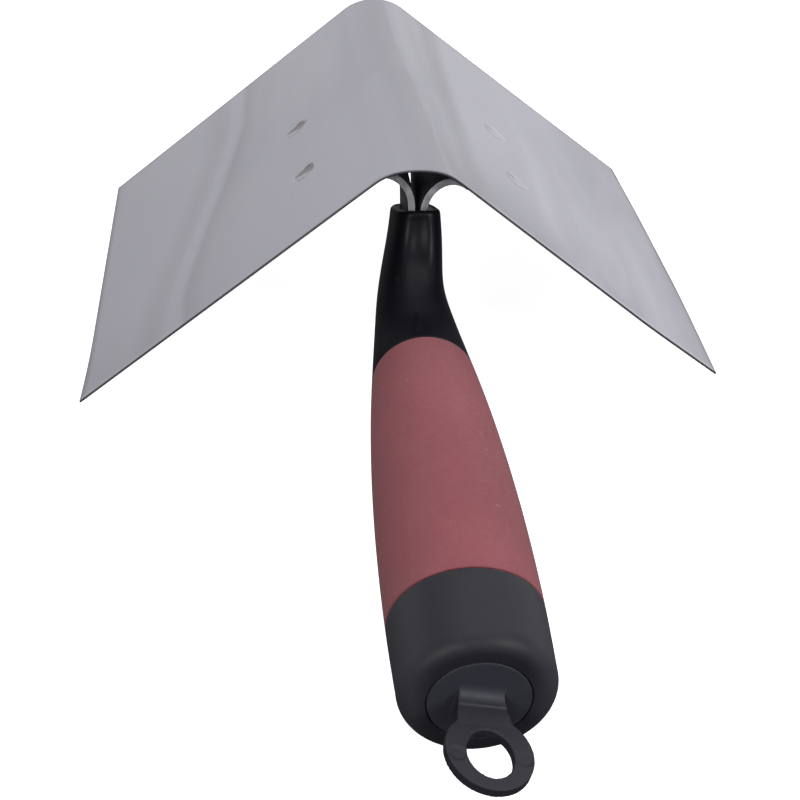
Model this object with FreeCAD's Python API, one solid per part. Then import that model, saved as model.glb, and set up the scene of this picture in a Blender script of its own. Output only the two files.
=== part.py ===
"""Inside corner trowel: a sheet-steel blade bent to a rounded V, on a handle that runs under and behind it.

The tool lies as it does on a bench, with the blade's ridge up. +Z is up, +X is to the right and +Y runs
forward along the ridge, away from the hand. The origin is on the bench, at the centre of the footprint.
The blade's two long edges and the handle's butt touch the bench. Lengths are in millimetres.

Two stamped steel plates are riveted under the blade's wings. They curve down beside each other and pass
as a double tang into the handle's neck. The handle is a hard core moulded round the tang, with a soft
grip moulded over its middle and a hanging plug snapped into its hollow butt, where the plug can turn.
The shank and the neck stand a little right of the blade's middle.
"""
import FreeCAD
import Part

import math
import os

Vec = FreeCAD.Vector

# Blade
BLADE_LENGTH = 111.1            # along the ridge
WING_WIDTH = 88.9               # from the sharp corner that the bend rounds off to the long edge
BLADE_ANGLE = 103.6             # between the wings, in degrees
BLADE_THICKNESS = 0.5
RIDGE_RADIUS = 12.45            # outside of the bend

# Whole tool. Places along Y are given from the blade's rear edge, which lies here
REAR_EDGE_Y = 6.91

# Shank plates
SHANK_OFFSET = 1.2              # the shank and the neck stand this far right of the blade's middle
PLATE_THICKNESS = 1.4
PLATE_GAP = 1.0                 # between the two plates in the tang
PLATE_BEND_RADIUS = 5.7         # to the middle of the sheet
STRAP_REAR = 8.0                # the strap's edges where the bend meets the flange
STRAP_FRONT = 27.0
TANG_WIDTH = 19.0
TANG_TIP_WIDTH = 13.0
TANG_DEPTH = 17.0               # below the neck's mouth
TANG_KEY_RADIUS = 2.0           # holes that the core's plastic fills
TANG_KEYS = ((6.5, -4.0), (6.5, 4.0), (12.5, 0.0))    # (below the mouth, forward of the middle)
FLANGE_INNER_REACH = 15.0       # from the sharp corner, where the flange is clear of the strap
FLANGE_REACH = 39.0
FLANGE_FRONT = 68.0
FLANGE_STEP = 5.0                # how far its inner edge runs forward as it leaves the strap
FLANGE_CORNER_RADIUS = 5.0

# Rivets
RIVET_PLACES = {                # (side, place): (down the wing from the sharp corner, along)
    ("left", "rear"): (26.8, 31.0),
    ("left", "front"): (28.1, 57.8),
    ("right", "rear"): (33.5, 33.1),
    ("right", "front"): (31.8, 59.0),
}
RIVET_HEAD_RADIUS = 2.6
RIVET_SHANK_RADIUS = 1.9
RIVET_BUTTON_RADIUS = 3.6
RIVET_BUTTON_HEIGHT = 1.4
RIVET_BUTTON_FLAT = 1.2         # radius of the flat that the rivet set leaves

# Handle body: a straight round barrel that falls towards its butt
BUTT_CENTRE = (-107.5, 12.32)    # of the end face: along, up
BODY_SLOPE = 3.9                # degrees
BODY_RADIUS = 13.05
BODY_WIDEST = 27.0              # from the end face
BODY_TAPER = 0.00090            # lost radius per square of the distance from the widest place
BODY_PLACES = (86.0, 76.0, 64.0, 52.0, 40.0, 27.0, 13.0, -1.0)   # from the end face
BUTT_ROUNDING = 3.0

# Handle neck: (on top: along, up), (underneath: along, up), half width, squareness of the oval, offset in X
NECK_ROWS = (
    ((2.2, 42.15), (25.2, 33.45), 4.7, 0.60, SHANK_OFFSET + 0.4),
    ((-0.1, 37.2), (23.7, 27.9), 5.35, 0.50, SHANK_OFFSET + 0.15),
    ((-3.2, 33.2), (20.9, 22.6), 6.0, 0.40, SHANK_OFFSET * 0.6),
    ((-7.4, 30.4), (15.2, 16.4), 6.8, 0.25, 0.0),
    ((-12.4, 28.8), (6.2, 11.6), 7.9, 0.10, 0.0),
)
NECK_MOUTH = (13.7, 37.8)
NECK_LEAN = 20.7                # degrees forward from upright
MOUTH_ROUNDING = 0.9
STATIONS = 24
SECTION_POINTS = 16

# Grip, cut off by two slanting planes: each is given by a point at mid-height and one on top
GRIP_DEPTH = 2.5
GRIP_FRONT = ((-24.6, 18.0), (-24.2, 28.2))
GRIP_REAR = ((-90.6, 13.4), (-92.4, 26.3))

# Socket in the butt: distances are from the end face
SEAT_RADIUS = 8.25
SEAT_DEPTH = 2.0
SOCKET_RADIUS = 6.55
GROOVE_RADIUS = 7.1
GROOVE_START = 6.5
GROOVE_WIDTH = 2.2
SOCKET_DEPTH = 12.0
CAVITY_RADIUS = 6.0
CAVITY_DEPTH = 62.0

# Hanging plug
PLUG_ROLL = 13.0                # degrees, right side down
PLUG_DISC_RADIUS = 8.1
PLUG_CLEARANCE = 0.05           # round the skirt
PLUG_SKIRT_WALL = 1.6
PLUG_SKIRT_LENGTH = 10.0
PLUG_BEAD_RADIUS = 7.0
PLUG_BEAD_FLAT = 0.6
PLUG_DISC_WALL = 1.0            # behind the seat
PLUG_BEAD_MARGIN = 0.2          # lengthwise play of the bead in its groove, at each end
TAB_THICKNESS = 1.6
TAB_ROOT_SIDES = (-3.8, 3.3)    # the tab's two edges on the disc
TAB_ROOT_RISE = 0.6             # extra half thickness on the disc
TAB_ROOT_FILLET = 2.0
TAB_JOIN = (4.4, 5.5)           # where its edges run into the ring: from the axis, behind the end face
RING_CENTRE = 10.2              # behind the end face
RING_HALF = (6.75, 7.2)         # outside, across and along
HOLE_CENTRE = 10.75
HOLE_HALF = (3.6, 4.45)
DIMPLE_CENTRE = 11.2
DIMPLE_RADIUS = 1.3
DIMPLE_DEPTH = 0.18
DIMPLE_FROM_AXIS = 5.1

FAR = 200.0                     # larger than the tool, for cutting tools

HALF_ANGLE = math.radians(BLADE_ANGLE / 2)
CORNER_Z = WING_WIDTH * math.cos(HALF_ANGLE) + BLADE_THICKNESS * math.sin(HALF_ANGLE)
SIDES = {"left": -1, "right": 1}
X_AXIS = Vec(1, 0, 0)


def at(x, along, z):
    """A point, with its place along Y measured from the blade's rear edge."""
    return Vec(x, along + REAR_EDGE_Y, z)


def line(a, b):
    return Part.LineSegment(a, b).toShape()


def arc(a, middle, b):
    return Part.Arc(a, middle, b).toShape()


def polygon(points):
    return Part.Face(Part.makePolygon(list(points) + [points[0]]))


# ---------------------------------------------------------------- blade

def wing_normal(side):
    """The wing's outward normal."""
    return Vec(side * math.cos(HALF_ANGLE), 0, math.sin(HALF_ANGLE))


def down_wing(side):
    """The direction down the wing, from the ridge to the long edge."""
    return Vec(side * math.sin(HALF_ANGLE), 0, -math.cos(HALF_ANGLE))


def wing_point(side, reach, along, depth=0.0):
    """The point on a wing at that reach from the sharp corner, that deep below its outer face."""
    return at(0, along, CORNER_Z) + down_wing(side) * reach - wing_normal(side) * depth


def blade():
    """A bent sheet, cut square at both ends and along both long edges."""
    centre = at(0, 0, CORNER_Z - RIDGE_RADIUS / math.sin(HALF_ANGLE))
    turns = (HALF_ANGLE - math.pi / 2, 0, math.pi / 2 - HALF_ANGLE)

    def bend(radius):
        return [centre + Vec(radius * math.sin(t), 0, radius * math.cos(t)) for t in turns]

    outer, inner = bend(RIDGE_RADIUS), bend(RIDGE_RADIUS - BLADE_THICKNESS)
    left = [wing_point(-1, WING_WIDTH, 0, depth) for depth in (0, BLADE_THICKNESS)]
    right = [wing_point(1, WING_WIDTH, 0, depth) for depth in (0, BLADE_THICKNESS)]
    section = Part.Face(Part.Wire([
        line(left[0], outer[0]), arc(*outer), line(outer[2], right[0]), line(right[0], right[1]),
        line(right[1], inner[2]), arc(*reversed(inner)), line(inner[0], left[1]), line(left[1], left[0]),
    ]))
    return section.extrude(Vec(0, BLADE_LENGTH, 0))


# ---------------------------------------------------------------- rivets

def rivet(side_name, place):
    """A rivet with a cone head flush with the blade's outer face and a button head under the plate."""
    under = -BLADE_THICKNESS - PLATE_THICKNESS
    head = [Vec(0, 0, 0), Vec(RIVET_HEAD_RADIUS, 0, 0), Vec(RIVET_SHANK_RADIUS, 0, -BLADE_THICKNESS),
            Vec(RIVET_SHANK_RADIUS, 0, under), Vec(RIVET_BUTTON_RADIUS, 0, under)]
    rise = RIVET_BUTTON_RADIUS - RIVET_BUTTON_FLAT
    ball = (rise ** 2 + RIVET_BUTTON_HEIGHT ** 2) / (2 * RIVET_BUTTON_HEIGHT)
    foot = Vec(0, 0, under - RIVET_BUTTON_HEIGHT)
    rim = foot + X_AXIS * RIVET_BUTTON_FLAT
    shoulder = rim + Vec(rise / 2, 0, ball - math.sqrt(ball ** 2 - rise ** 2 / 4))
    edges = [line(a, b) for a, b in zip(head, head[1:])]
    edges += [arc(head[-1], shoulder, rim), line(rim, foot), line(foot, head[0])]
    body = Part.Face(Part.Wire(edges)).revolve(Vec(0, 0, 0), Vec(0, 0, 1), 360)
    side = SIDES[side_name]
    turn = FreeCAD.Rotation(Vec(0, 0, 1), wing_normal(side))
    body.Placement = FreeCAD.Placement(wing_point(side, *RIVET_PLACES[side_name, place]), turn)
    return body


# ---------------------------------------------------------------- shank plates

def neck_point(depth, forward=0.0, x=0.0):
    """A point that deep below the neck's mouth, along the leaning neck."""
    lean = math.radians(NECK_LEAN)
    up, ahead = Vec(0, math.sin(lean), math.cos(lean)), Vec(0, math.cos(lean), -math.sin(lean))
    return at(SHANK_OFFSET + x, *NECK_MOUTH) - up * depth + ahead * forward


def bend_centre(side):
    """Where the plate's bend is centred, so that it ends lying under the wing."""
    x = PLATE_GAP / 2 + PLATE_THICKNESS / 2 + PLATE_BEND_RADIUS + side * SHANK_OFFSET
    sheet = CORNER_Z * math.sin(HALF_ANGLE) - BLADE_THICKNESS - PLATE_THICKNESS / 2
    z = (sheet - PLATE_BEND_RADIUS - x * math.cos(HALF_ANGLE)) / math.sin(HALF_ANGLE)
    return at(side * x, 0, z)


def bend_end_reach(side):
    """How far down the wing the bend ends."""
    return (bend_centre(side) - wing_point(side, 0, 0)).dot(down_wing(side))


def bent_strip(side):
    """The upright leg and the bend, running the blade's whole length."""
    centre = bend_centre(side)
    near, far = PLATE_BEND_RADIUS + PLATE_THICKNESS / 2, PLATE_BEND_RADIUS - PLATE_THICKNESS / 2
    turn_end = math.pi - HALF_ANGLE
    foot = Vec(0, 0, -FAR / 4)

    def on_bend(radius, turn):
        return centre + Vec(-side * radius * math.cos(turn), 0, radius * math.sin(turn))

    convex = [on_bend(near, t) for t in (0, turn_end / 2, turn_end)]
    concave = [on_bend(far, t) for t in (turn_end, turn_end / 2, 0)]
    section = Part.Face(Part.Wire([
        line(convex[0] + foot, convex[0]), arc(*convex), line(convex[2], concave[0]), arc(*concave),
        line(concave[2], concave[2] + foot), line(concave[2] + foot, convex[0] + foot),
    ]))
    section.translate(Vec(0, -FAR / 4, 0))
    return section.extrude(Vec(0, FAR / 2, 0))


def strap_prism():
    """The tang and the bend as seen from the side, as a prism across the tool."""
    bend = bend_centre(-1).z
    top = bend + PLATE_BEND_RADIUS + PLATE_THICKNESS
    half, tip = TANG_WIDTH / 2, TANG_TIP_WIDTH / 2
    sides = [(STRAP_REAR, top - 0.5), (STRAP_REAR, top), (STRAP_FRONT, top),
             (STRAP_FRONT, bend + PLATE_BEND_RADIUS * 0.5)]
    outline = [neck_point(TANG_DEPTH, -tip), neck_point(0, -half)]
    outline += [at(SHANK_OFFSET, along, z) for along, z in sides]
    outline += [neck_point(-1.5, half), neck_point(0, half), neck_point(TANG_DEPTH, tip)]
    prism = polygon([p - X_AXIS * FAR / 4 for p in outline]).extrude(X_AXIS * FAR / 2)
    keys = [Part.makeCylinder(TANG_KEY_RADIUS, FAR / 2, neck_point(depth, forward, -FAR / 4), X_AXIS)
            for depth, forward in TANG_KEYS]
    return prism.cut(Part.makeCompound(keys))


def flange(side):
    """The part of the plate that lies flat under the wing."""
    start = bend_end_reach(side)
    outline = [(start, STRAP_REAR), (FLANGE_REACH, STRAP_REAR), (FLANGE_REACH, FLANGE_FRONT),
               (FLANGE_INNER_REACH, FLANGE_FRONT), (FLANGE_INNER_REACH, STRAP_FRONT + FLANGE_STEP),
               (start, STRAP_FRONT)]
    slab = polygon([wing_point(side, reach, along, BLADE_THICKNESS) for reach, along in outline])
    slab = slab.extrude(wing_normal(side) * -PLATE_THICKNESS)
    middle = BLADE_THICKNESS + PLATE_THICKNESS / 2
    outer = [wing_point(side, reach, along, middle) for reach, along in outline[1:4]]
    corners = [e for e in slab.Edges if min((e.CenterOfMass - p).Length for p in outer) < 0.01]
    return slab.makeFillet(FLANGE_CORNER_RADIUS, corners)


def shank_plate(side):
    return bent_strip(side).common(strap_prism()).fuse(flange(side)).removeSplitter()


# ---------------------------------------------------------------- handle

def butt_forward():
    slope = math.radians(BODY_SLOPE)
    return Vec(0, math.cos(slope), math.sin(slope))


def butt_up():
    slope = math.radians(BODY_SLOPE)
    return Vec(0, -math.sin(slope), math.cos(slope))


def handle_rows():
    """(top point, underneath point, half width, squareness) down the handle, from its mouth to its butt."""
    rows = [(at(offset, *top), at(offset, *under), half, square)
            for top, under, half, square, offset in NECK_ROWS]
    for place in BODY_PLACES:
        radius = BODY_RADIUS - BODY_TAPER * (place - BODY_WIDEST) ** 2
        centre = at(0, *BUTT_CENTRE) + butt_forward() * place
        rows.append((centre + butt_up() * radius, centre - butt_up() * radius, radius, 0.0))
    return rows


def smooth_rail(points, knots):
    curve = Part.BSplineCurve()
    curve.interpolate(Points=points, Parameters=knots)
    return curve


def oval(top, under, half_width, square):
    """A closed curve from its top and bottom points. Squareness swells it towards a rounded oblong."""
    middle, spoke = (top + under) * 0.5, (top - under) * 0.5
    points = []
    for step in range(SECTION_POINTS):
        turn = 2 * math.pi * step / SECTION_POINTS
        swell = 1 + square * 0.25 * math.sin(2 * turn) ** 2
        out = X_AXIS * (half_width * math.sin(turn) * swell)
        points.append(middle - spoke * (math.cos(turn) * swell) + out)
    curve = Part.BSplineCurve()
    curve.interpolate(Points=points, Parameters=list(range(SECTION_POINTS + 1)), PeriodicFlag=True)
    return curve


def skin(sections, knots):
    """A solid whose side passes smoothly through closed curves that share their knots, with flat ends."""
    rails = [smooth_rail(list(column), knots) for column in zip(*(c.getPoles() for c in sections))]
    side = Part.BSplineSurface()
    side.buildFromPolesMultsKnots(
        [rail.getPoles() for rail in rails],
        sections[0].getMultiplicities(), rails[0].getMultiplicities(),
        sections[0].getKnots(), rails[0].getKnots(), True, False, 3, 3)
    side = side.toShape()
    ends = [Part.Face(Part.Wire(e)) for e in side.Edges if not e.isSeam(side)]
    shell = Part.Shell([side] + ends)
    shell.sewShape()
    solid = Part.Solid(shell)
    solid.fix(1e-4, 1e-4, 1e-4)
    return solid


def handle_form(inset=0.0):
    """The handle's outer form, or the same form drawn in by inset."""
    rows = handle_rows()
    middles = [(top + under) * 0.5 for top, under, _, _ in rows]
    knots = [0.0]
    for a, b in zip(middles, middles[1:]):
        knots.append(knots[-1] + (b - a).Length)
    tops = smooth_rail([row[0] for row in rows], knots)
    unders = smooth_rail([row[1] for row in rows], knots)
    shapes = smooth_rail([Vec(row[2], row[3], 0) for row in rows], knots)
    places = [knots[-1] * step / (STATIONS - 1) for step in range(STATIONS)]
    sections = []
    for place in places:
        top, under, shape = tops.value(place), unders.value(place), shapes.value(place)
        pull = (top - under).normalize() * inset
        sections.append(oval(top - pull, under + pull, shape.x - inset, max(shape.y, 0)))
    return skin(sections, places)


def butt_cutter():
    """A solid of revolution that trims the handle's form to the butt's end face and rounding."""
    butt, ahead = at(0, *BUTT_CENTRE), butt_forward()
    radius = BODY_RADIUS - BODY_TAPER * (BODY_WIDEST - BUTT_ROUNDING) ** 2
    inner = radius - BUTT_ROUNDING
    slant = BUTT_ROUNDING * math.sqrt(0.5)

    def point(out, place):
        return butt + X_AXIS * out + ahead * place

    end, middle = point(inner, 0), point(inner + slant, BUTT_ROUNDING - slant)
    side, far = point(radius, BUTT_ROUNDING), point(radius + FAR / 8, FAR)
    section = Part.Face(Part.Wire([
        line(point(0, 0), end), arc(end, middle, side), line(side, far),
        line(far, point(0, FAR)), line(point(0, FAR), point(0, 0)),
    ]))
    return section.revolve(butt, ahead, 360)


def rounded_form():
    """The outer form with its butt and mouth edges rounded."""
    form = handle_form()
    mouth = [e for e in form.Edges if (e.CenterOfMass - neck_point(0)).Length < 2.0]
    return form.makeFillet(MOUTH_ROUNDING, mouth).common(butt_cutter())


def between_grip_ends():
    """The space between the grip's two slanting end planes."""
    def on_plane(middle, top, z):
        return at(-FAR / 2, middle[0] + (top[0] - middle[0]) * (z - middle[1]) / (top[1] - middle[1]), z)

    low, high = -FAR / 8, FAR / 4
    outline = [on_plane(*GRIP_FRONT, z) for z in (low, high)] + [on_plane(*GRIP_REAR, z) for z in (high, low)]
    return polygon(outline).extrude(X_AXIS * FAR)


def along_butt(profile):
    """Turns a profile of (radius, place forward of the end face) round the butt's axis."""
    butt = at(0, *BUTT_CENTRE)
    points = [butt + X_AXIS * radius + butt_forward() * place for radius, place in profile]
    return polygon(points).revolve(butt, butt_forward(), 360)


def socket():
    """Everything that is hollow in the butt: the plug's seat, its bore and snap groove, and the cavity."""
    groove_end = GROOVE_START + GROOVE_WIDTH
    return along_butt([
        (0, -5), (SEAT_RADIUS, -5), (SEAT_RADIUS, SEAT_DEPTH), (SOCKET_RADIUS, SEAT_DEPTH),
        (SOCKET_RADIUS, GROOVE_START), (GROOVE_RADIUS, GROOVE_START), (GROOVE_RADIUS, groove_end),
        (SOCKET_RADIUS, groove_end), (SOCKET_RADIUS, SOCKET_DEPTH), (CAVITY_RADIUS, SOCKET_DEPTH),
        (CAVITY_RADIUS, CAVITY_DEPTH - CAVITY_RADIUS), (1, CAVITY_DEPTH), (0, CAVITY_DEPTH),
    ])


# ---------------------------------------------------------------- hanging plug

def flat_oval(place, half, lift, thickness):
    """An upright oval prism in the plug's own frame, which starts at the middle of the end face."""
    curve = Part.Ellipse(Vec(0, 0, 0), max(half), min(half)).toShape()
    wire = Part.Wire(curve)
    wire.Placement = FreeCAD.Placement(Vec(0, place, lift), FreeCAD.Rotation(Vec(0, 0, 1), 90))
    return Part.Face(wire).extrude(Vec(0, 0, thickness))


def hang_tab():
    """The flat tab with its ring. The stem widens towards the ring and thickens towards the disc."""
    foot, thin, thick = -TAB_THICKNESS / 2, TAB_THICKNESS / 2, TAB_THICKNESS / 2 + TAB_ROOT_RISE
    ring = flat_oval(-RING_CENTRE, RING_HALF, foot, TAB_THICKNESS)
    hole = flat_oval(-HOLE_CENTRE, HOLE_HALF, foot - 1, TAB_THICKNESS + 2)
    (left, right), (join, back) = TAB_ROOT_SIDES, TAB_JOIN
    plan = polygon([Vec(left, 0, -FAR / 4), Vec(right, 0, -FAR / 4), Vec(join, -back, -FAR / 4),
                    Vec(-join, -back, -FAR / 4)]).extrude(Vec(0, 0, FAR / 2))
    wedge = polygon([Vec(-FAR / 4, 0, thick), Vec(-FAR / 4, -back, thin), Vec(-FAR / 4, -back, -thin),
                     Vec(-FAR / 4, 0, -thick)]).extrude(X_AXIS * FAR / 2)
    root = Part.makeBox(FAR / 2, TAB_ROOT_FILLET, 2 * (thick + TAB_ROOT_FILLET),
                        Vec(-FAR / 4, -TAB_ROOT_FILLET, -thick - TAB_ROOT_FILLET))
    for lift in (-thick - TAB_ROOT_FILLET, thick + TAB_ROOT_FILLET):
        middle = Vec(-FAR / 2, -TAB_ROOT_FILLET, lift)
        root = root.cut(Part.makeCylinder(TAB_ROOT_FILLET, FAR, middle, X_AXIS))
    stem = wedge.fuse(root).common(plan)
    return ring.fuse(stem).removeSplitter().cut(hole)


def hang_plug():
    skirt = SOCKET_RADIUS - PLUG_CLEARANCE
    bore = skirt - PLUG_SKIRT_WALL
    bead_start = GROOVE_START + PLUG_BEAD_MARGIN
    bead_end = GROOVE_START + GROOVE_WIDTH - PLUG_BEAD_MARGIN
    body = along_butt([
        (0, 0), (PLUG_DISC_RADIUS, 0), (PLUG_DISC_RADIUS, SEAT_DEPTH), (skirt, SEAT_DEPTH),
        (skirt, bead_start), (PLUG_BEAD_RADIUS, bead_start), (PLUG_BEAD_RADIUS, bead_start + PLUG_BEAD_FLAT),
        (skirt, bead_end), (skirt, PLUG_SKIRT_LENGTH), (bore, PLUG_SKIRT_LENGTH),
        (bore, SEAT_DEPTH + PLUG_DISC_WALL), (0, SEAT_DEPTH + PLUG_DISC_WALL),
    ])
    tab = hang_tab()
    dimple_floor = TAB_THICKNESS / 2 - DIMPLE_DEPTH
    dimples = [Part.makeCylinder(DIMPLE_RADIUS, 1, Vec(side * DIMPLE_FROM_AXIS, -DIMPLE_CENTRE, dimple_floor))
               for side in SIDES.values()]
    tab = tab.cut(Part.makeCompound(dimples))
    tilt = FreeCAD.Rotation(X_AXIS, BODY_SLOPE).multiply(FreeCAD.Rotation(Vec(0, 1, 0), PLUG_ROLL))
    tab.Placement = FreeCAD.Placement(at(0, *BUTT_CENTRE), tilt)
    return body.fuse(tab).removeSplitter()


# ---------------------------------------------------------------- assembly

def build():
    rivets = {f"rivet_{side}_{place}": rivet(side, place) for side, place in RIVET_PLACES}
    all_rivets = Part.makeCompound(list(rivets.values()))
    plates = {f"shank_plate_{name}": shank_plate(side).cut(all_rivets) for name, side in SIDES.items()}
    form = rounded_form()
    grip = form.common(between_grip_ends()).cut(handle_form(GRIP_DEPTH))
    core = form.cut(grip).cut(socket()).cut(Part.makeCompound(list(plates.values())))
    return {
        "blade": blade().cut(all_rivets), **plates, **rivets,
        "handle_core": core, "soft_grip": grip, "hang_plug": hang_plug(),
    }


os.makedirs("parts", exist_ok=True)
for node, shape in build().items():
    box = shape.BoundBox
    print(f"{node:20s} solids {len(shape.Solids)} valid {shape.isValid()} volume {shape.Volume:9.1f} "
          f"X {box.XMin:7.2f} {box.XMax:7.2f} Y {box.YMin:8.2f} {box.YMax:8.2f} "
          f"Z {box.ZMin:6.2f} {box.ZMax:6.2f}")
    shape.exportStep(f"parts/{node}.step")
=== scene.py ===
"""Looks for the inside corner trowel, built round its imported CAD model.

Lengths are in mm until a mesh is made. Materials, lights and the camera work in metres.
"""

import math

import bpy
import bmesh
import numpy as np
from mathutils import Matrix, Vector


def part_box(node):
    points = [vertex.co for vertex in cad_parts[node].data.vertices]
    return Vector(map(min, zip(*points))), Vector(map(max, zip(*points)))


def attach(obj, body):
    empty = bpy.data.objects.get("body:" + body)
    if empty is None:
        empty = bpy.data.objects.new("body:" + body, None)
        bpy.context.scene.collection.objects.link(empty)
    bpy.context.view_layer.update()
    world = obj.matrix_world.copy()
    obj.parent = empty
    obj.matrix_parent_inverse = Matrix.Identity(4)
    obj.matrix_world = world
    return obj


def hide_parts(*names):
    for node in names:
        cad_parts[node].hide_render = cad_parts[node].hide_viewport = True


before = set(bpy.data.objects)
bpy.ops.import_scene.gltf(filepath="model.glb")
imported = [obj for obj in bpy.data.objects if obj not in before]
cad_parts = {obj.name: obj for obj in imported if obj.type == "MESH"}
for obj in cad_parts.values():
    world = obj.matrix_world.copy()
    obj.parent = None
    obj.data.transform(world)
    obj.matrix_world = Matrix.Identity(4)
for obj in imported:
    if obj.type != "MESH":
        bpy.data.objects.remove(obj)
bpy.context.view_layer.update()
MM = 0.001
scene = bpy.context.scene
TROWEL, LOOP = "trowel", "hanging_loop"

# The same dimensions as in part.py. ALONG is measured from the blade's rear edge.
REAR_EDGE_Y = 6.91
HALF_ANGLE = math.radians(51.8)
BLADE_LENGTH, WING_WIDTH, BLADE_THICKNESS, RIDGE_RADIUS = 111.1, 88.9, 0.5, 12.45
CORNER_Z = WING_WIDTH * math.cos(HALF_ANGLE) + BLADE_THICKNESS * math.sin(HALF_ANGLE)
SHANK_OFFSET = 1.2
# Each rivet's reach down its wing from the sharp corner, and its place ALONG.
RIVETS = {
    "left_rear": (26.8, 31.0), "left_front": (28.1, 57.8),
    "right_rear": (33.5, 33.1), "right_front": (31.8, 59.0),
}
BUTT = np.array([0, -107.5 + REAR_EDGE_Y, 12.32])
SLOPE = math.radians(3.9)
AHEAD = np.array([0, math.cos(SLOPE), math.sin(SLOPE)])
UP = np.array([0, -math.sin(SLOPE), math.cos(SLOPE)])
NECK_ROWS = (
    ((2.2, 42.15), (25.2, 33.45), 4.7, 0.60, SHANK_OFFSET + 0.4),
    ((-0.1, 37.2), (23.7, 27.9), 5.35, 0.50, SHANK_OFFSET + 0.15),
    ((-3.2, 33.2), (20.9, 22.6), 6.0, 0.40, SHANK_OFFSET * 0.6),
    ((-7.4, 30.4), (15.2, 16.4), 6.8, 0.25, 0.0),
    ((-12.4, 28.8), (6.2, 11.6), 7.9, 0.10, 0.0),
)
GRIP_FRONT = ((-24.6, 18.0), (-24.2, 28.2))
GRIP_REAR = ((-90.6, 13.4), (-92.4, 26.3))
GRIP_DEPTH = 2.5
HANDLE_PLACES = (86.0, 76.0, 64.0, 52.0, 40.0, 27.0, 13.0, -1.0)     # ahead of the butt's face
MOUTH_LEAN = math.radians(20.7)
MOUTH_LIP = 0.9
BUTT_ROUNDING = 3.0
BUTT_GROOVE = 0.3               # the step between the grip's rear edge and the core
SEAT_RADIUS = 8.25
SEAT_GROOVE = (0.75, 0.25, 0.2)  # beyond the seat: the groove's outer edge, its inner edge, its rounding
SOCKET = ((SEAT_RADIUS, 1.0), (SEAT_RADIUS, 2.0), (6.55, 2.0), (6.55, 6.5), (7.1, 6.5), (7.1, 8.7),
          (6.55, 8.7), (6.55, 12.0), (6.0, 12.0), (6.0, 56.0), (1.0, 62.0))      # (radius, place)


# ------------------------------------------------------------------ meshes

def add_mesh(name, points, faces, body, replaced=(), smooth=True):
    """A mesh object from points in mm, riding on a body."""
    mesh = bpy.data.meshes.new(name)
    corners = [tuple(float(v) * MM for v in point) for point in points]
    mesh.from_pydata(corners, [], [tuple(int(i) for i in face) for face in faces])
    mesh.validate()
    for polygon in mesh.polygons:
        polygon.use_smooth = smooth
    obj = bpy.data.objects.new(name, mesh)
    scene.collection.objects.link(obj)
    outward(obj)
    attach(obj, body)
    if replaced:
        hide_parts(*replaced)
    return obj


def outward(obj):
    work = bmesh.new()
    work.from_mesh(obj.data)
    bmesh.ops.recalc_face_normals(work, faces=work.faces)
    work.to_mesh(obj.data)
    work.free()


def tube(rings):
    """Points and faces of a closed skin over rings that share a vertex count, with a fan at each end."""
    rings = [np.asarray(ring) for ring in rings]
    count = len(rings[0])
    points = np.concatenate(rings + [rings[0].mean(0)[None], rings[-1].mean(0)[None]])
    faces = []
    for k in range(len(rings) - 1):
        a, b = k * count, (k + 1) * count
        for i in range(count):
            j = (i + 1) % count
            faces.append((a + i, a + j, b + j, b + i))
    first, last = len(rings) * count, len(rings) * count + 1
    end = (len(rings) - 1) * count
    for i in range(count):
        j = (i + 1) % count
        faces.append((first, j, i))
        faces.append((last, end + i, end + j))
    return points, faces


def apply_modifiers(obj):
    """Turns the modifiers into the object's own mesh."""
    graph = bpy.context.evaluated_depsgraph_get()
    mesh = bpy.data.meshes.new_from_object(obj.evaluated_get(graph))
    obj.modifiers.clear()
    obj.data = mesh


def smooth_by_angle(obj, degrees):
    """Smooth shading, with sharp edges where faces meet at more than that."""
    work = bmesh.new()
    work.from_mesh(obj.data)
    limit = math.radians(degrees)
    for edge in work.edges:
        edge.smooth = not (len(edge.link_faces) == 2 and edge.calc_face_angle(0) > limit)
    for face in work.faces:
        face.smooth = True
    work.to_mesh(obj.data)
    work.free()


# ------------------------------------------------------------------ handle form

def spline(knots, values):
    """A natural cubic spline through the values, as a function of the knot."""
    x, y = np.asarray(knots, float), np.asarray(values, float)
    n, h = len(x), np.diff(x)
    system, right = np.eye(n), np.zeros((n,) + y.shape[1:])
    for i in range(1, n - 1):
        system[i, i - 1:i + 2] = h[i - 1], 2 * (h[i - 1] + h[i]), h[i]
        right[i] = 6 * ((y[i + 1] - y[i]) / h[i] - (y[i] - y[i - 1]) / h[i - 1])
    bend = np.linalg.solve(system, right)

    def value(at):
        at = np.clip(np.asarray(at, float), x[0], x[-1])
        i = np.clip(np.searchsorted(x, at) - 1, 0, n - 2)
        a, b, s = x[i + 1] - at, at - x[i], h[i]
        if y.ndim > 1:
            a, b, s = a[..., None], b[..., None], s[..., None]
        return (bend[i] * a ** 3 + bend[i + 1] * b ** 3) / (6 * s) \
            + (y[i] / s - bend[i] * s / 6) * a + (y[i + 1] / s - bend[i + 1] * s / 6) * b

    return value


def handle_radius(place):
    """The round handle's radius, which is greatest 27 mm ahead of the butt's face."""
    return 13.05 - 0.0009 * (place - 27.0) ** 2


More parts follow.
